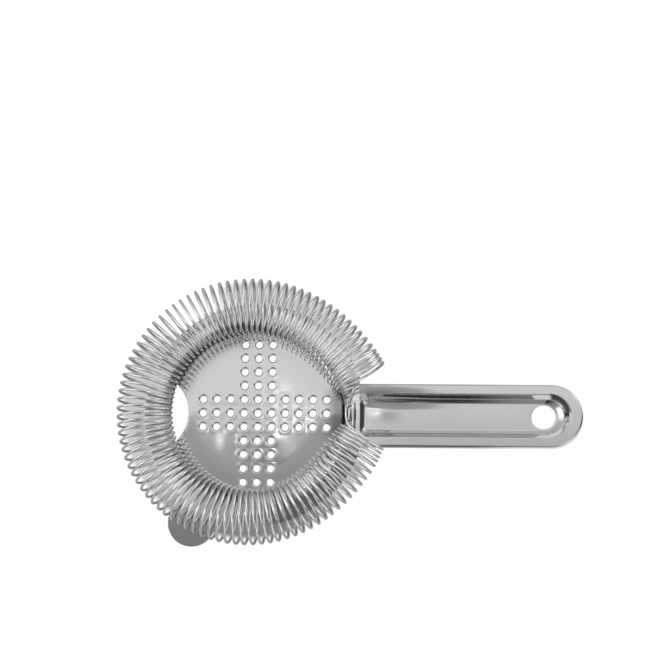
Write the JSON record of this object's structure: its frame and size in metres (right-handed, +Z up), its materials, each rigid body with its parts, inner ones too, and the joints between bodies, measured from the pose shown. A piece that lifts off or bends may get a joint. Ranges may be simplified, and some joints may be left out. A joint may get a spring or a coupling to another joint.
{
  "type": "hawthorne strainer",
  "caption": "Cocktail strainer: perforated round pressed plate with a crescent slot and a resting ear, channelled handle, and a coil spring bent round the pan that slides to close the gate.",
  "frame": {"origin": "middle of the strainer's length and width, on the plane it lies on with the spring side up", "axes": "+X from the head to the handle's round end, +Z up out of the side the coil spring sits on, +Y completes the right-handed set"},
  "size_m": [0.1541, 0.0886, 0.023],
  "materials": {
    "plate_steel": "polished stainless steel sheet",
    "handle_steel": "polished stainless steel sheet",
    "spring_steel": "bright drawn stainless steel wire"
  },
  "bodies": {
    "strainer": {"head_plate": "plate_steel", "handle": "handle_steel"},
    "spring": {"coil_spring": "spring_steel"}
  },
  "joints": [
    {"name": "gate_slide", "type": "slide", "parent": "strainer", "child": "spring", "axis": [1, 0, 0], "range_m": [0, 0.0022], "stiffness_N_per_m": 900, "deforming": ["coil_spring"]}
  ]
}
